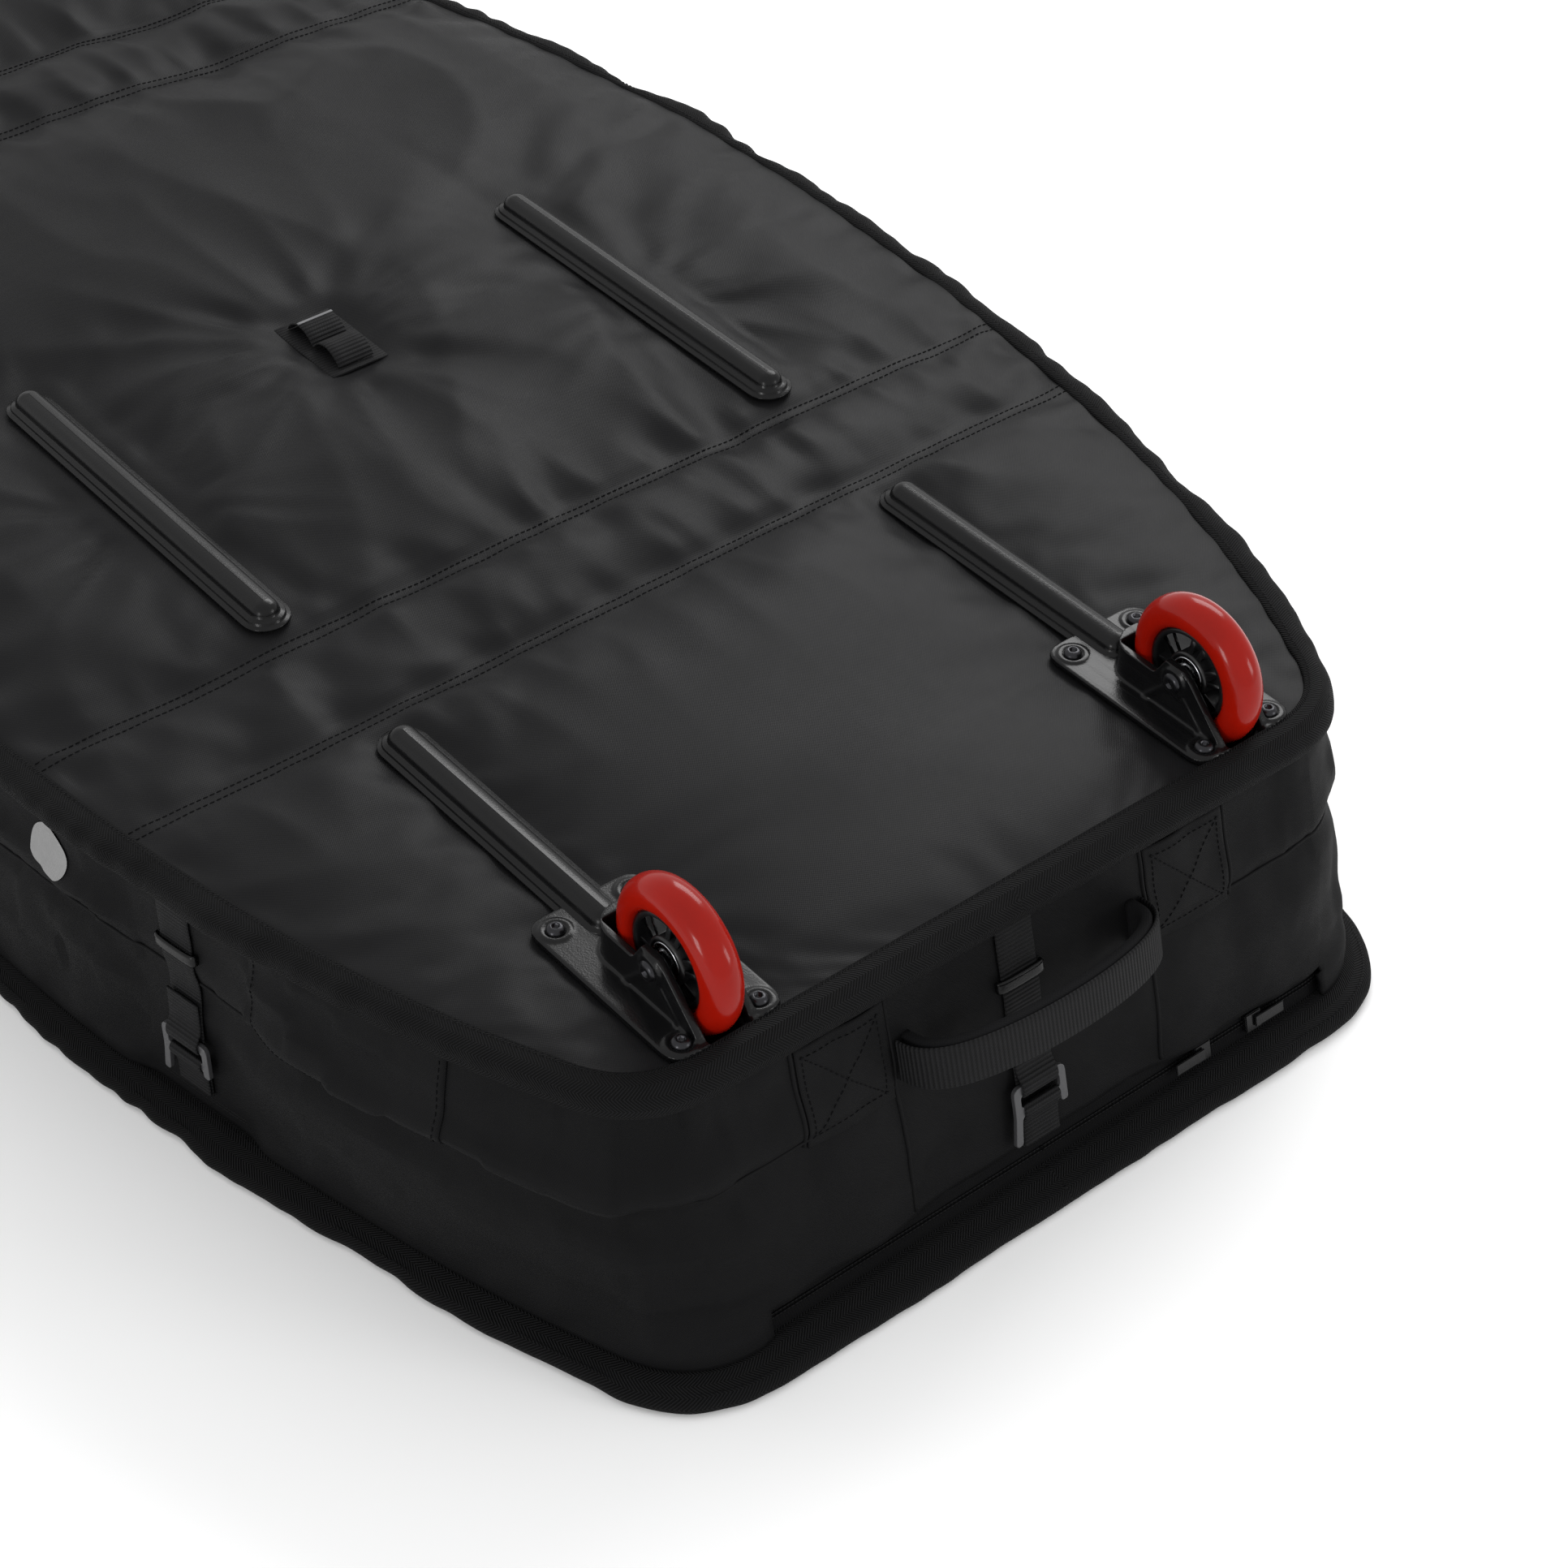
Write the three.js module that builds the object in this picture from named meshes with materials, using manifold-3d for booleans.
// Wheeled travel bag for boards, lying on its lid with the base and the two wheels up.
// Millimetres, +Z up, +X towards the wheeled tail, origin on the floor under the middle of the bag.
// The padded shell (base, walls, rails, wheels) is hinged to the lid along the right long side.
import * as THREE from "three";
import { mergeVertices } from "three/addons/utils/BufferGeometryUtils.js";
import Module from "manifold-3d";

const wasm = await Module();
wasm.setup();

// Driving dimensions
const GAP = 0.3; // between pieces that touch
const TAIL_X = 758.5; // x of the base's straight tail edge
const LENGTH = 1541; // base, tail edge to nose tip
const HALF_WIDTH = 369; // base, at its widest
const WIDEST = 640; // distance of the widest section from the tail edge
const HEIGHT = 190; // floor to the base's top face
const TAIL_LEAN = 45; // how far the tail wall's foot stands out past its top
const LEAN_REACH = 220; // distance over which that lean fades out along the sides
const FLANGE = 15; // how far the lid's bound edge stands out past the base outline
const LID_T = 12;
const BOUND_T = 10; // thickness of the lid's bound edge
const PAD_T = 12; // padded base panels
const WALL_T = 8;
const WALL_INSET = 8; // wall's outer face, inside the base outline
const BINDING = 9; // width of the base binding in plan
const TAPE_T = 3;
const ZIP_Z = 24; // height of the closed zip's teeth
const TAPE_H = 10; // height of each zip tape

// Wheels and their housings, placed from the rear rail's front tip
const TRACK_HALF = 180;
const RAIL_REAR = 314; // distance of the rear rails' front tips from the tail edge
const WHEEL_R = 45;
const WHEEL_W = 24;
const CORE_R = 28;
const BEARING_R = 11;
const BEARING_W = 7;
const AXLE_R = 4;
const WHEEL_U = 262; // wheel centre along the rail
const WHEEL_Z = HEIGHT + 27;
const PLATE = { from: 176, to: 304, half: 36, t: 4 };
const SCREWS = [[189, -24.5], [189, 24.5], [294, -24.5], [294, 24.5]];
const EAR_IN = 13.5;
const EAR_OUT = 18.5;
const WELL_DEPTH = 26;
const RAIL = { width: 30, flange: 2.5, ridge: 8.5, ridgeHeight: 10 };
const RAIL_FRONT = { s: 713, length: 295, y: 183 }; // s: front tip's distance from the tail edge

// Padded base panels between the cross seams: distances from the tail edge, and how far each puffs up
const REAR_SEAM = 328;
const FRONT_SEAM = 408;
const BAND_PUFF = 5;
const MAIN_PUFF = 10;

// Webbing, straps, hooks, handles
const WEB_W = 26;
const WEB_T = 2;
const SIDE_STRAP_S = 292; // side straps' distance from the tail edge
const HOOK_Z = 66; // hook origin above the floor
const STRAP_TOP = HEIGHT - 14;
const LOOP_FOOT = 33;
const TAIL_HANDLE = { half: 88, out: 46, height: 26, z: 130, tabFrom: -3 };
const NOSE_HANDLE = { half: 50, out: 44, height: 26, z: 110, tabFrom: -17 };
const HANDLE_PIVOT = 15; // pivot line, out from the wall
const HANDLE_T = 5;
const SLIDERS = { left: 120, right: 160 };

const material = (color, roughness, metalness = 0) =>
  new THREE.MeshStandardMaterial({ color, roughness, metalness });
const MATERIALS = {
  tarpaulin: material(0x262626, 0.55),
  fabric: material(0x161616, 0.9),
  lining: material(0x3a3d40, 0.85),
  mesh: material(0x101010, 0.95),
  webbing: material(0x0b0b0b, 0.8),
  plastic: material(0x17181a, 0.4),
  zip: material(0x0d0d0d, 0.6),
  tyre: material(0xa3100c, 0.15),
  core: material(0x0c0c0c, 0.4),
  steel: material(0x9a9c9f, 0.25, 1),
  blackSteel: material(0x1b1c1e, 0.3, 0.8),
};

const bag = new THREE.Group();

// ---- solids -------------------------------------------------------------------------------

function toSolid(geometry) {
  const bare = geometry.index ? geometry.toNonIndexed() : geometry.clone();
  bare.deleteAttribute("normal");
  bare.deleteAttribute("uv");
  const merged = mergeVertices(bare, 1e-3);
  return new wasm.Manifold(
    new wasm.Mesh({
      numProp: 3,
      vertProperties: merged.attributes.position.array,
      triVerts: new Uint32Array(merged.index.array),
    }),
  );
}

function toGeometry(solid) {
  const mesh = solid.getMesh();
  const geometry = new THREE.BufferGeometry();
  geometry.setAttribute("position", new THREE.BufferAttribute(mesh.vertProperties, 3));
  geometry.setIndex(new THREE.BufferAttribute(mesh.triVerts, 1));
  return geometry;
}

const join = (...parts) => parts.reduce((all, part) => all.add(part));
const cut = (body, ...tools) => tools.reduce((all, tool) => all.subtract(tool), body);

function place(name, geometry, finish, x = 0, y = 0, z = 0, turn = 0) {
  const mesh = new THREE.Mesh(geometry, finish);
  mesh.name = name;
  mesh.position.set(x, y, z);
  mesh.rotation.z = turn;
  bag.add(mesh);
  return mesh;
}

function block(x0, x1, y0, y1, z0, z1) {
  const box = new THREE.BoxGeometry(x1 - x0, y1 - y0, z1 - z0);
  return toSolid(box.translate((x0 + x1) / 2, (y0 + y1) / 2, (z0 + z1) / 2));
}

// A cylinder lying along Y.
function barrel(radius, y0, y1, x = 0, z = 0, sides = 32) {
  return toSolid(new THREE.CylinderGeometry(radius, radius, y1 - y0, sides).translate(x, (y0 + y1) / 2, z));
}

// An upright prism of a plan outline.
function upright(points, z0, z1) {
  const shape = new THREE.Shape(points);
  return new THREE.ExtrudeGeometry(shape, { depth: z1 - z0, bevelEnabled: false }).translate(0, 0, z0);
}

// A prism of a side profile (x, z), lying across Y.
function across(points, y0, y1) {
  const shape = new THREE.Shape(points.map(([x, z]) => new THREE.Vector2(x, z)));
  const geometry = new THREE.ExtrudeGeometry(shape, { depth: y1 - y0, bevelEnabled: false });
  return geometry.rotateX(Math.PI / 2).translate(0, y1, 0);
}

// ---- the bag's outline --------------------------------------------------------------------

// The left half in plan, as distances from the tail edge and from the centre line.
const half = new THREE.Path();
half.moveTo(0, 200);
half.bezierCurveTo(0, 240, 22, 258, 50, 268);
half.bezierCurveTo(190, 335, 400, HALF_WIDTH, WIDEST, HALF_WIDTH);
half.bezierCurveTo(960, HALF_WIDTH, LENGTH, 200, LENGTH, 0);
const halfPoints = half.getPoints(9);

// Plan points of the whole outline, moved out by a distance, counter-clockwise from above.
function outline(out) {
  const right = halfPoints.map((p, i) => {
    const before = halfPoints[Math.max(i - 1, 0)];
    const after = halfPoints[Math.min(i + 1, halfPoints.length - 1)];
    const along = after.clone().sub(before).normalize();
    const end = i === 0 || i === halfPoints.length - 1;
    const normal = end ? new THREE.Vector2(i === 0 ? -1 : 1, 0) : new THREE.Vector2(-along.y, along.x);
    return new THREE.Vector2(TAIL_X - p.x - normal.x * out, p.y + normal.y * out);
  });
  const left = right.slice(0, -1).map((p) => new THREE.Vector2(p.x, -p.y));
  return [...right, ...left.reverse()];
}

function ring(outer, inner, z0, z1) {
  const shape = new THREE.Shape(outline(outer));
  shape.holes.push(new THREE.Path(outline(inner).reverse()));
  return new THREE.ExtrudeGeometry(shape, { depth: z1 - z0, bevelEnabled: false }).translate(0, 0, z0);
}

// The wall, tapes and lid stand out at the tail the more, the nearer they are to the floor:
// how much of the lean each outline point takes.
const leanShares = outline(0).map((p) => THREE.MathUtils.smoothstep(p.x, TAIL_X - LEAN_REACH, TAIL_X));
const leanAt = (z) => TAIL_LEAN * (1 - z / HEIGHT);
const spot = (x, y) => `${Math.fround(x).toFixed(2)} ${Math.fround(y).toFixed(2)}`;

// A leaning prism of the outline, or a leaning ring when it has an inner offset too.
function leaning(z0, z1, ...offsets) {
  const shares = new Map();
  const loops = offsets.map((out) =>
    outline(out).map((p, i) => {
      const foot = new THREE.Vector2(p.x + leanAt(z0) * leanShares[i], p.y);
      shares.set(spot(foot.x, foot.y), leanShares[i]);
      return foot;
    }),
  );
  const shape = new THREE.Shape(loops[0]);
  if (loops[1]) shape.holes.push(new THREE.Path(loops[1].reverse()));
  const geometry = new THREE.ExtrudeGeometry(shape, { depth: z1 - z0, bevelEnabled: false });
  const position = geometry.translate(0, 0, z0).attributes.position;
  for (let i = 0; i < position.count; i++) {
    const [x, y, z] = [position.getX(i), position.getY(i), position.getZ(i)];
    position.setX(i, x + (leanAt(z) - leanAt(z0)) * shares.get(spot(x, y)));
  }
  return geometry;
}

// ---- lid, lying on the floor ----------------------------------------------------------------

const LID_EDGE = FLANGE - 22; // outline offset where the lid's bound edge begins
place("lid_panel", leaning(0, LID_T, LID_EDGE - GAP), MATERIALS.fabric);
place("lid_binding", leaning(0, BOUND_T, FLANGE, LID_EDGE), MATERIALS.webbing);
place("lid_zip_tape", leaning(LID_T + GAP, ZIP_Z - GAP / 2, -WALL_INSET, -WALL_INSET - TAPE_T), MATERIALS.zip);
place(
  "lid_mesh_pocket",
  toGeometry(block(-330, 330, -230, 230, LID_T + GAP, LID_T + GAP + 3)),
  MATERIALS.mesh,
);

// ---- shell: base panels, walls, bindings ----------------------------------------------------

const BASE_Z = HEIGHT - PAD_T;
const FAR = 2000;

function basePanel(name, fromTail, toTail, puff, ...tools) {
  const slab = toSolid(upright(outline(-BINDING - GAP), BASE_Z, HEIGHT + puff));
  const strip = block(TAIL_X - toTail + GAP / 2, TAIL_X - fromTail - GAP / 2, -FAR, FAR, 0, 400);
  place(name, toGeometry(cut(slab.intersect(strip), ...tools)), MATERIALS.tarpaulin);
}

const wells = [-1, 1].map((side) => {
  const x = TAIL_X - RAIL_REAR + WHEEL_U;
  const y = side * TRACK_HALF;
  return block(x - 44, x + 44, y - EAR_OUT - 1, y + EAR_OUT + 1, 0, HEIGHT + 5);
});
basePanel("base_tail_panel", -100, REAR_SEAM, 0, ...wells);
basePanel("base_rear_band", REAR_SEAM, FRONT_SEAM, BAND_PUFF);
basePanel("base_main_panel", FRONT_SEAM, LENGTH + 100, MAIN_PUFF);
place("base_binding", ring(0, -BINDING, HEIGHT - 9, HEIGHT + 3), MATERIALS.webbing);

const WALL_FROM = ZIP_Z + TAPE_H + GAP;
const wallRing = toSolid(leaning(WALL_FROM, BASE_Z - GAP, -WALL_INSET, -WALL_INSET - WALL_T));
const TAIL_SEAM_Y = 90; // half the width of the tail wall's middle panel
const TAIL_SEAM_X = TAIL_X - 60;
const NOSE_SEAM_X = TAIL_X - 1380;

function wallPiece(x0, x1, y0, y1) {
  return wallRing.intersect(block(x0 + GAP / 2, x1 - GAP / 2, y0 + GAP / 2, y1 - GAP / 2, -10, 400));
}

// Stubs that a handle's ends are sewn to, standing off the wall on both sides.
function handleTabs(handle) {
  return [-1, 1].map((side) => {
    const y = side * (handle.half - HANDLE_T / 2);
    return block(handle.tabFrom, 9, y - 2.5, y + 2.5, -12, 12);
  });
}

const tailMiddle = wallPiece(TAIL_SEAM_X, FAR, -TAIL_SEAM_Y, TAIL_SEAM_Y);
const besideTail = block(TAIL_SEAM_X - 1, FAR, -TAIL_SEAM_Y - GAP / 2, TAIL_SEAM_Y + GAP / 2, -10, 400);
place("wall_left", toGeometry(cut(wallPiece(NOSE_SEAM_X, FAR, -FAR, 0), besideTail)), MATERIALS.fabric);
place("wall_right", toGeometry(cut(wallPiece(NOSE_SEAM_X, FAR, 0, FAR), besideTail)), MATERIALS.fabric);

const shellTape = leaning(ZIP_Z + GAP / 2, ZIP_Z + TAPE_H, -WALL_INSET, -WALL_INSET - TAPE_T);
place("shell_zip_tape", shellTape, MATERIALS.zip);

// Doubled cloth on the upper corners beside the tail panel.
for (const [name, y0, y1] of [["corner_patch_left", -FAR, -200], ["corner_patch_right", 200, FAR]]) {
  const skin = toSolid(leaning(WALL_FROM, BASE_Z - GAP, -WALL_INSET + 3.8, -WALL_INSET + 2.2));
  place(name, toGeometry(skin.intersect(block(TAIL_X - 225, TAIL_X - 115, y0, y1, 112, BASE_Z - 2))), MATERIALS.fabric);
}

// ---- inside the shell ----------------------------------------------------------------------

// A plastic board under the tail panel carries the housings' screws.
const stiffener = cut(
  block(TAIL_X - 300, TAIL_X - 30, -225, 225, BASE_Z - GAP - 3, BASE_Z - GAP),
  ...wells,
);
place("tail_stiffener", toGeometry(stiffener), MATERIALS.plastic);

// Tie-down straps across the inside of the base, each with a buckle in the middle.
for (const [name, s] of [["tie_strap_rear", 480], ["tie_strap_front", 930]]) {
  const x = TAIL_X - s;
  const under = BASE_Z - GAP;
  const strap = block(x - 19, x + 19, -300, 300, under - WEB_T, under);
  const buckle = block(x - 24, x + 24, -32, 32, under - 9, under - WEB_T + 0.5);
  place(name, toGeometry(join(strap, buckle)), MATERIALS.webbing);
}

// ---- skid rails and wheel housings ------------------------------------------------------------

// A rounded ridge on a flat flange, lying along +X from its front tip at the origin.
function railSolid(length, squareEnd) {
  const r = RAIL.width / 2;
  const flange = new THREE.Shape();
  flange.absarc(r, 0, r, Math.PI / 2, (3 * Math.PI) / 2, false);
  if (squareEnd) {
    flange.lineTo(length, -r);
    flange.lineTo(length, r);
  } else {
    flange.absarc(length - r, 0, r, -Math.PI / 2, Math.PI / 2, false);
  }
  const plate = new THREE.ExtrudeGeometry(flange, { depth: RAIL.flange, bevelEnabled: false, curveSegments: 8 });
  const from = RAIL.ridge + 4;
  const to = squareEnd ? length + r : length - from;
  const bar = new THREE.CylinderGeometry(RAIL.ridge, RAIL.ridge, to - from, 16, 1);
  const ball = new THREE.SphereGeometry(RAIL.ridge, 16, 8).rotateZ(Math.PI / 2);
  const ridge = join(
    toSolid(bar.rotateZ(Math.PI / 2).translate((from + to) / 2, 0, 0)),
    toSolid(ball.clone().translate(from, 0, 0)),
    toSolid(ball.clone().translate(to, 0, 0)),
  );
  const tall = ridge.scale([1, 1, RAIL.ridgeHeight / RAIL.ridge]).translate([0, 0, RAIL.flange]);
  const keep = block(0, length, -r, r, 0.5, 40);
  return join(toSolid(plate), tall.intersect(keep));
}

const PLATE_TOP = HEIGHT + GAP;
for (const [side, name] of [[-1, "left"], [1, "right"]]) {
  place(
    "skid_rail_front_" + name,
    toGeometry(railSolid(RAIL_FRONT.length, false)),
    MATERIALS.plastic,
    TAIL_X - RAIL_FRONT.s,
    side * RAIL_FRONT.y,
    PLATE_TOP + MAIN_PUFF,
  );
  place(
    "skid_rail_rear_" + name,
    toGeometry(railSolid(PLATE.from - GAP, true)),
    MATERIALS.plastic,
    TAIL_X - RAIL_REAR,
    side * TRACK_HALF,
    PLATE_TOP,
  );
}

// Plate, cup round the wheel, fork ears and the well that the wheel sinks into; local x is along the rail.
function housingSolid() {
  const axleZ = WHEEL_Z - PLATE_TOP;
  const corner = 12;
  const { from, to, half: w, t } = PLATE;
  const plan = new THREE.Shape();
  plan.moveTo(from + corner, -w);
  plan.lineTo(to - corner, -w);
  plan.quadraticCurveTo(to, -w, to, -w + corner);
  plan.lineTo(to, w - corner);
  plan.quadraticCurveTo(to, w, to - corner, w);
  plan.lineTo(from + corner, w);
  plan.quadraticCurveTo(from, w, from, w - corner);
  plan.lineTo(from, -w + corner);
  plan.quadraticCurveTo(from, -w, from + corner, -w);
  const plate = toSolid(new THREE.ExtrudeGeometry(plan, { depth: t, bevelEnabled: false, curveSegments: 4 }));

  const cup = new THREE.Shape();
  cup.moveTo(WHEEL_U, -EAR_OUT);
  cup.lineTo(WHEEL_U, EAR_OUT);
  cup.lineTo(WHEEL_U - 36, EAR_OUT);
  cup.absarc(WHEEL_U - 36, 0, EAR_OUT, Math.PI / 2, (3 * Math.PI) / 2, false);
  const cupWall = toSolid(new THREE.ExtrudeGeometry(cup, { depth: 24, bevelEnabled: false, curveSegments: 8 }));

  const ear = [
    [WHEEL_U - 30, 0.5],
    [WHEEL_U + 42, 0.5],
    [WHEEL_U + 36, 7],
    [WHEEL_U + 11, axleZ + 6],
    [WHEEL_U + 5, axleZ + 10],
    [WHEEL_U - 8, axleZ + 10],
    [WHEEL_U - 16, 24],
    [WHEEL_U - 30, 24],
  ];
  const ears = toSolid(across(ear, -EAR_OUT, EAR_OUT));
  const well = join(
    block(WHEEL_U - 43, WHEEL_U + 43, -EAR_OUT, EAR_OUT, -9, 0.5),
    block(WHEEL_U - 35, WHEEL_U + 35, -EAR_OUT, EAR_OUT, -WELL_DEPTH, -8),
  );
  const hollow = barrel(WHEEL_R + 3, -EAR_IN, EAR_IN, WHEEL_U, axleZ, 40);
  const hollowUp = block(WHEEL_U - 48, WHEEL_U + 48, -EAR_IN, EAR_IN, axleZ, 60);
  const axleHole = barrel(AXLE_R + GAP, -30, 30, WHEEL_U, axleZ, 20);
  const screwHoles = SCREWS.map(([u, v]) =>
    toSolid(new THREE.CylinderGeometry(3.3, 3.3, 20, 12).rotateX(Math.PI / 2).translate(u, v, 0)),
  );
  return cut(join(plate, cupWall, ears, well), hollow, hollowUp, axleHole, ...screwHoles);
}

// Button-head screw through the plate: its neck ends inside the padded base.
function screwGeometry() {
  const head = PLATE.t + GAP;
  return new THREE.LatheGeometry(
    [[0, 0.6], [3, 0.6], [3, head], [5.4, head], [5.2, head + 1.6], [3.4, head + 2.8], [0, head + 3.1]].map(
      ([r, z]) => new THREE.Vector2(r, z),
    ),
    16,
  ).rotateX(Math.PI / 2);
}

// ---- wheels -------------------------------------------------------------------------------------

function tyreGeometry() {
  const profile = [];
  const inner = CORE_R + GAP;
  const steps = 8;
  for (let i = 0; i <= steps; i++) {
    const a = (Math.PI * i) / steps;
    const y = (-WHEEL_W / 2) * Math.cos(a);
    profile.push(new THREE.Vector2(inner + 4 + (WHEEL_R - inner - 4) * Math.sin(a) ** 0.8, y));
  }
  profile.push(new THREE.Vector2(inner, WHEEL_W / 2 - 3), new THREE.Vector2(inner, -WHEEL_W / 2 + 3));
  profile.push(profile[0].clone());
  return new THREE.LatheGeometry(profile, 36);
}

function hubSolid() {
  const y = 9;
  const rim = cut(barrel(CORE_R, -y, y), barrel(CORE_R - 3, -30, 30));
  const boss = barrel(BEARING_R + 2.6, -y, y, 0, 0, 24);
  const spokes = [0, 1, 2, 3, 4].map((i) =>
    block(BEARING_R, CORE_R - 1, -3, 3, -3.5, 3.5).rotate([0, i * 72, 0]),
  );
  return cut(join(rim, boss, ...spokes), barrel(BEARING_R + GAP, -30, 30, 0, 0, 24));
}

function bearingGeometry() {
  const [r0, r1, w] = [AXLE_R + GAP, BEARING_R, BEARING_W / 2];
  const section = [[r0, -w], [r1, -w], [r1, w], [r0, w], [r0, -w]];
  return new THREE.LatheGeometry(section.map(([r, y]) => new THREE.Vector2(r, y)), 20);
}

function axleBoltGeometry() {
  const reach = EAR_OUT + 6;
  const head = EAR_OUT + GAP;
  const profile = [[0, -head - 3.5], [5, -head - 3.2], [6.2, -head - 1.5], [6.2, -head], [AXLE_R, -head], [AXLE_R, reach], [0, reach]];
  return new THREE.LatheGeometry(profile.map(([r, y]) => new THREE.Vector2(r, y)), 16);
}

function axleNutSolid() {
  const from = EAR_OUT + GAP;
  return cut(barrel(7, from, from + 5, 0, 0, 6), barrel(AXLE_R + GAP, 0, 60, 0, 0, 12));
}

for (const [side, name] of [[-1, "left"], [1, "right"]]) {
  const x = TAIL_X - RAIL_REAR;
  const y = side * TRACK_HALF;
  place("wheel_housing_" + name, toGeometry(housingSolid()), MATERIALS.plastic, x, y, PLATE_TOP);
  SCREWS.forEach(([u, v], i) =>
    place(`housing_screw_${name}_${i + 1}`, screwGeometry(), MATERIALS.blackSteel, x + u, y + v, PLATE_TOP),
  );
  const wx = x + WHEEL_U;
  place("tyre_" + name, tyreGeometry(), MATERIALS.tyre, wx, y, WHEEL_Z);
  place("wheel_core_" + name, toGeometry(hubSolid()), MATERIALS.core, wx, y, WHEEL_Z);
  const seat = 9 - BEARING_W / 2;
  place(`bearing_${name}_1`, bearingGeometry(), MATERIALS.steel, wx, y - seat, WHEEL_Z);
  place(`bearing_${name}_2`, bearingGeometry(), MATERIALS.steel, wx, y + seat, WHEEL_Z);
  place("axle_bolt_" + name, axleBoltGeometry(), MATERIALS.blackSteel, wx, y, WHEEL_Z);
  place("axle_nut_" + name, toGeometry(axleNutSolid()), MATERIALS.blackSteel, wx, y, WHEEL_Z);
}

// ---- webbing on the base ------------------------------------------------------------------------

// A sewn patch with a strip of webbing over it that makes two loops.
function loopPatch() {
  const [l, w, rise, t] = [64, 40, 8, 1.6];
  const patch = block(0, l, -w / 2, w / 2, 0, 1.5);
  const wave = (lift) =>
    Array.from({ length: 13 }, (_, i) => {
      const s = 4 + ((l - 8) * i) / 12;
      return [s, 1.2 + lift + rise * Math.abs(Math.sin((Math.PI * 2 * (s - 4)) / (l - 8)))];
    });
  const strip = across([...wave(0), ...wave(t).reverse()], -13, 13);
  return join(patch, toSolid(strip));
}
place("base_loop_patch", toGeometry(loopPatch()), MATERIALS.webbing, TAIL_X - 676, 0, PLATE_TOP + MAIN_PUFF);

// ---- where straps, hooks and handles stand on the walls ------------------------------------------

// A group whose x axis points straight out of a wall's face, y across it, and z up the face from the floor.
function wallFrame(x, y, turn, tilt = 0) {
  const frame = new THREE.Group();
  frame.position.set(x, y, 0);
  frame.rotation.set(0, -tilt, turn);
  bag.add(frame);
  return frame;
}

function mount(frame, name, geometry, finish, x = 0, y = 0, z = 0) {
  const mesh = new THREE.Mesh(geometry, finish);
  mesh.name = name;
  mesh.position.set(x, y, z);
  frame.add(mesh);
}

// Frame on a side wall, at a distance from the tail edge.
function sideFrame(s, side) {
  const i = halfPoints.findIndex((p) => p.x > s);
  const [a, b] = [halfPoints[i - 1], halfPoints[i]];
  const share = (s - a.x) / (b.x - a.x);
  const along = b.clone().sub(a).normalize();
  const normal = new THREE.Vector2(along.y, side * along.x);
  const x = TAIL_X - s - normal.x * WALL_INSET;
  const y = side * (a.y + (b.y - a.y) * share) - normal.y * WALL_INSET;
  return wallFrame(x, y, Math.atan2(normal.y, normal.x));
}

const TAIL_TILT = Math.atan(TAIL_LEAN / HEIGHT);
const tailFrame = wallFrame(TAIL_X - WALL_INSET + TAIL_LEAN, 0, 0, TAIL_TILT);
const noseFrame = wallFrame(TAIL_X - LENGTH + WALL_INSET, 0, Math.PI);
const upFace = (z) => z / Math.cos(TAIL_TILT);

// ---- compression straps with flat hooks ------------------------------------------------------------

const HOOK = { half: 18, t: 3, x: 5.5, top: 8, bar: 5.5 };

// Webbing from under the base binding, folded round the hook's top bar.
function strapSolid(top) {
  const w = WEB_W / 2;
  const band = block(GAP, GAP + WEB_T, -w, w, 0.5, top);
  const fold = block(GAP, 10.4, -w, w, 0.5, 10.4);
  const keeper = block(GAP, GAP + WEB_T + 3, -w - 2, w + 2, top - 44, top - 36);
  return cut(join(band, fold, keeper), block(2.4, 8.6, -w - 1, w + 1, 2.4, 8.6));
}

// Closed slot for the strap above, a bar that the loop sits on, a long leg and a short one below.
function hookSolid() {
  const { half: w, t, x } = HOOK;
  const frame = block(x - t / 2, x + t / 2, -w, w, -28, HOOK.top);
  const slot = block(0, 12, -w + 4, w - 4, -6, 3);
  const mouth = block(0, 12, -w + 4, w - 4, -30, -10);
  const shortLeg = block(0, 12, w - 5, w + 1, -30, -15);
  return cut(frame, slot, mouth, shortLeg);
}

// Webbing loop sewn to the wall below, caught on the hook's bar.
function loopSolid(foot) {
  const w = WEB_W / 2;
  const band = block(GAP, GAP + WEB_T, -w, w, foot, -11);
  const fold = block(GAP, 11, -w, w, -12.6, -3.6);
  return cut(join(band, fold), block(1.7, 9.3, -w - 1, w + 1, -10.8, -5.2));
}

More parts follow.
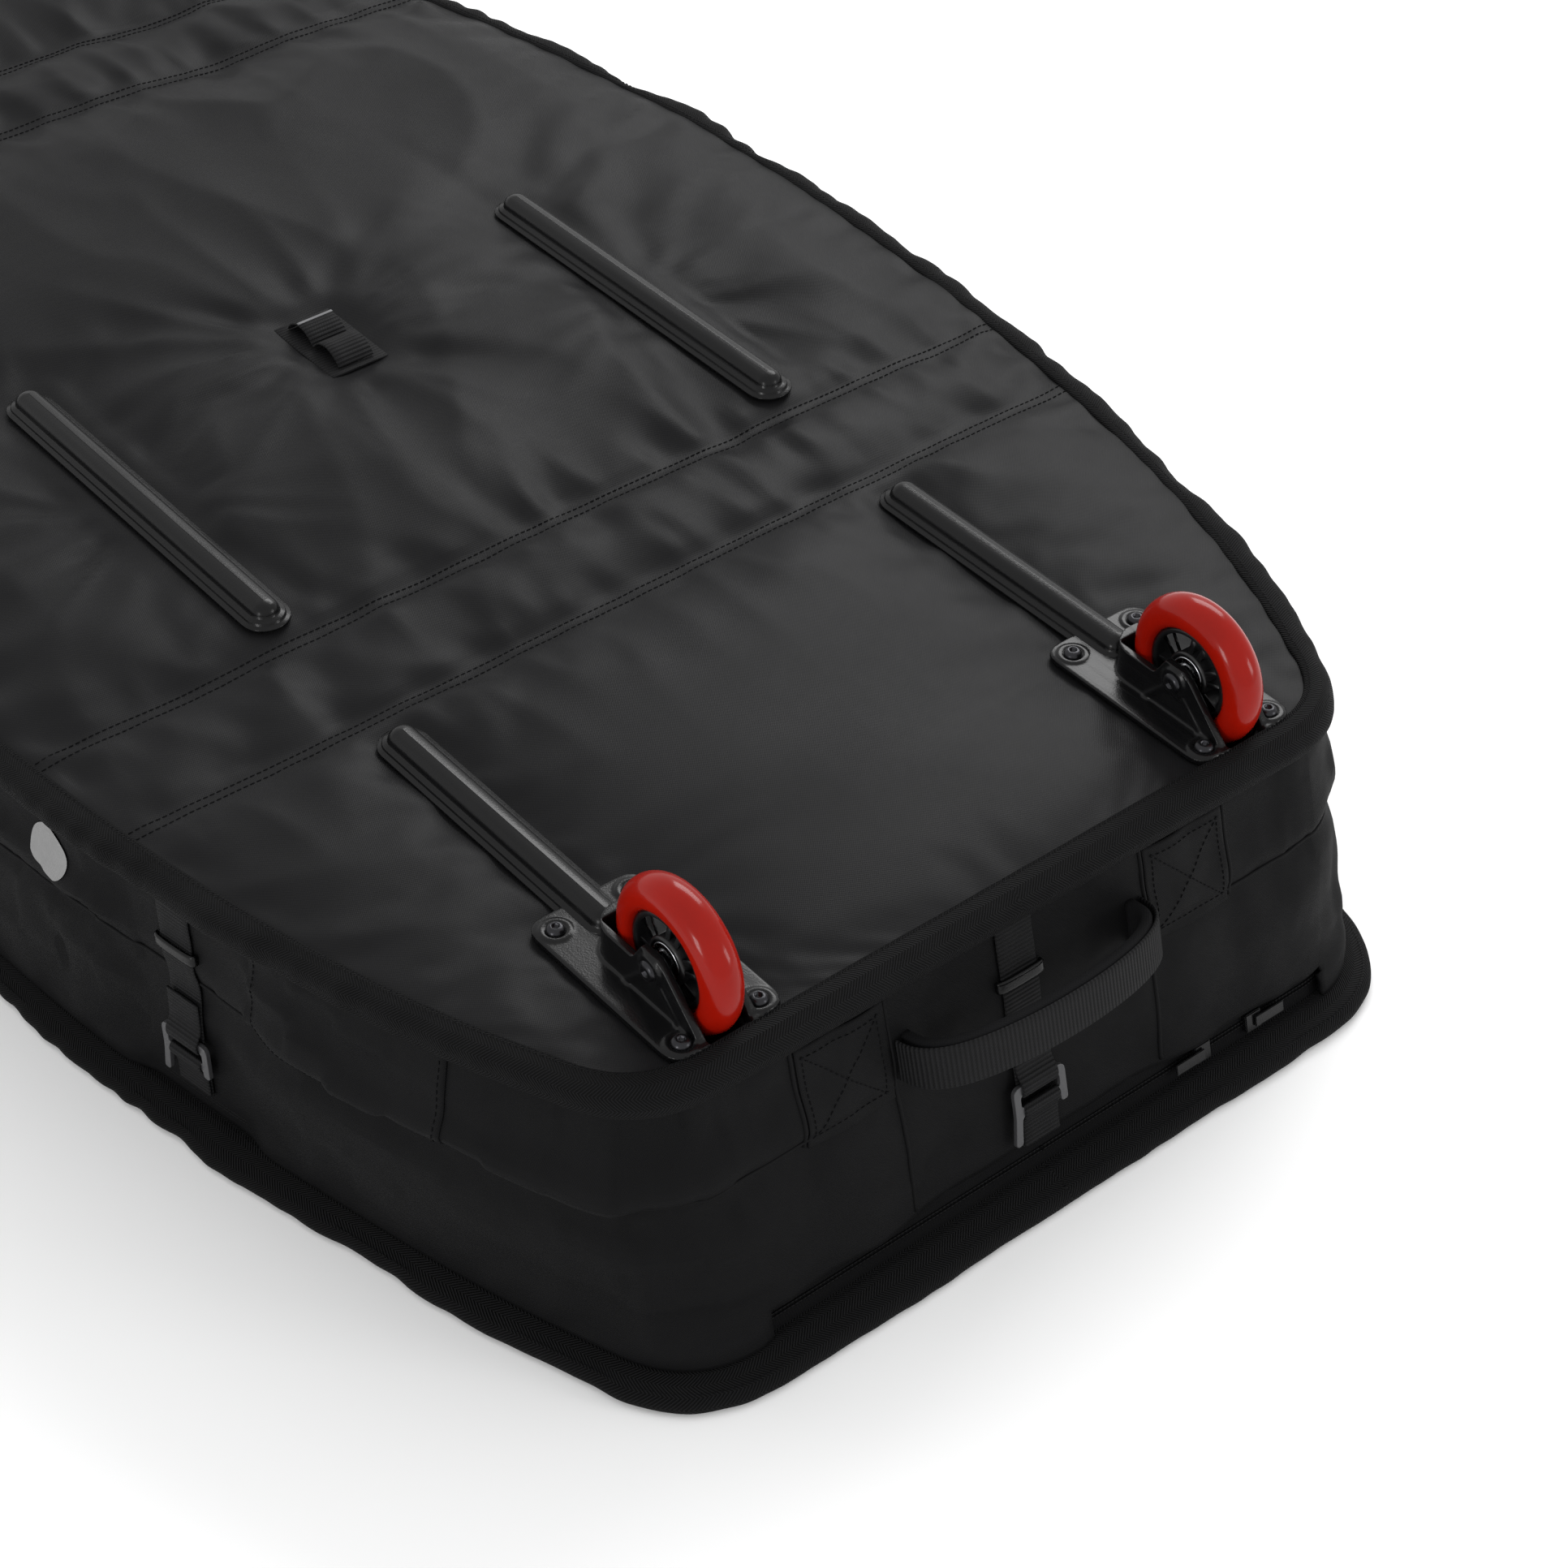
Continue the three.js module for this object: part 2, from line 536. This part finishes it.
for (const [name, frame, up] of [
  ["tail", tailFrame, upFace],
  ["left", sideFrame(SIDE_STRAP_S, -1), (z) => z],
  ["right", sideFrame(SIDE_STRAP_S, 1), (z) => z],
]) {
  const z = up(HOOK_Z);
  const off = name === "tail" ? 0 : 0.8; // the side walls are slightly curved
  mount(frame, "strap_" + name, toGeometry(strapSolid(up(STRAP_TOP) - z)), MATERIALS.webbing, off, 0, z);
  mount(frame, "hook_" + name, toGeometry(hookSolid()), MATERIALS.blackSteel, off, 0, z);
  mount(frame, "strap_loop_" + name, toGeometry(loopSolid(up(LOOP_FOOT) - z)), MATERIALS.webbing, off, 0, z);
}

// ---- handles -----------------------------------------------------------------------------------------

// An arched band of padded webbing; its ends stop at the pivot line.
function handleGeometry(handle) {
  const arc = (shrink) =>
    Array.from({ length: 17 }, (_, i) => {
      const a = -Math.PI / 2 + (Math.PI * i) / 16;
      const reach = handle.out - HANDLE_PIVOT - shrink;
      return new THREE.Vector2(HANDLE_PIVOT + reach * Math.cos(a) ** 0.7, (handle.half - shrink) * Math.sin(a));
    });
  return upright([...arc(0), ...arc(HANDLE_T).reverse()], -handle.height / 2, handle.height / 2);
}

mount(tailFrame, "tail_handle", handleGeometry(TAIL_HANDLE), MATERIALS.webbing, 0, 0, upFace(TAIL_HANDLE.z));
mount(noseFrame, "nose_handle", handleGeometry(NOSE_HANDLE), MATERIALS.webbing, 0, 0, NOSE_HANDLE.z);

// The end walls carry the handles' stubs.
function withTabs(wall, frame, handle, z) {
  frame.updateMatrixWorld(true);
  const stubs = handleTabs(handle).map((stub) =>
    toSolid(toGeometry(stub).translate(0, 0, z).applyMatrix4(frame.matrixWorld)),
  );
  return toGeometry(join(wall, ...stubs));
}
const noseWall = wallPiece(-FAR, NOSE_SEAM_X, -FAR, FAR);
place("wall_tail", withTabs(tailMiddle, tailFrame, TAIL_HANDLE, upFace(TAIL_HANDLE.z)), MATERIALS.fabric);
place("wall_nose", withTabs(noseWall, noseFrame, NOSE_HANDLE, NOSE_HANDLE.z), MATERIALS.fabric);

// ---- zip sliders, meeting on the tail's straight run --------------------------------------------------

for (const [name, side] of [["left", -1], ["right", 1]]) {
  const y = SLIDERS[name];
  const z = upFace(ZIP_Z);
  const body = new THREE.BoxGeometry(3.7, 12, 12).translate(GAP + 1.85, 0, 0);
  mount(tailFrame, "zip_slider_" + name, body, MATERIALS.blackSteel, 0, y, z);
  const tab = new THREE.BoxGeometry(1.5, 22, 7).translate(5.1, side * 11, 0);
  mount(tailFrame, "zip_puller_" + name, tab, MATERIALS.blackSteel, 0, y, z);
}

export default bag;
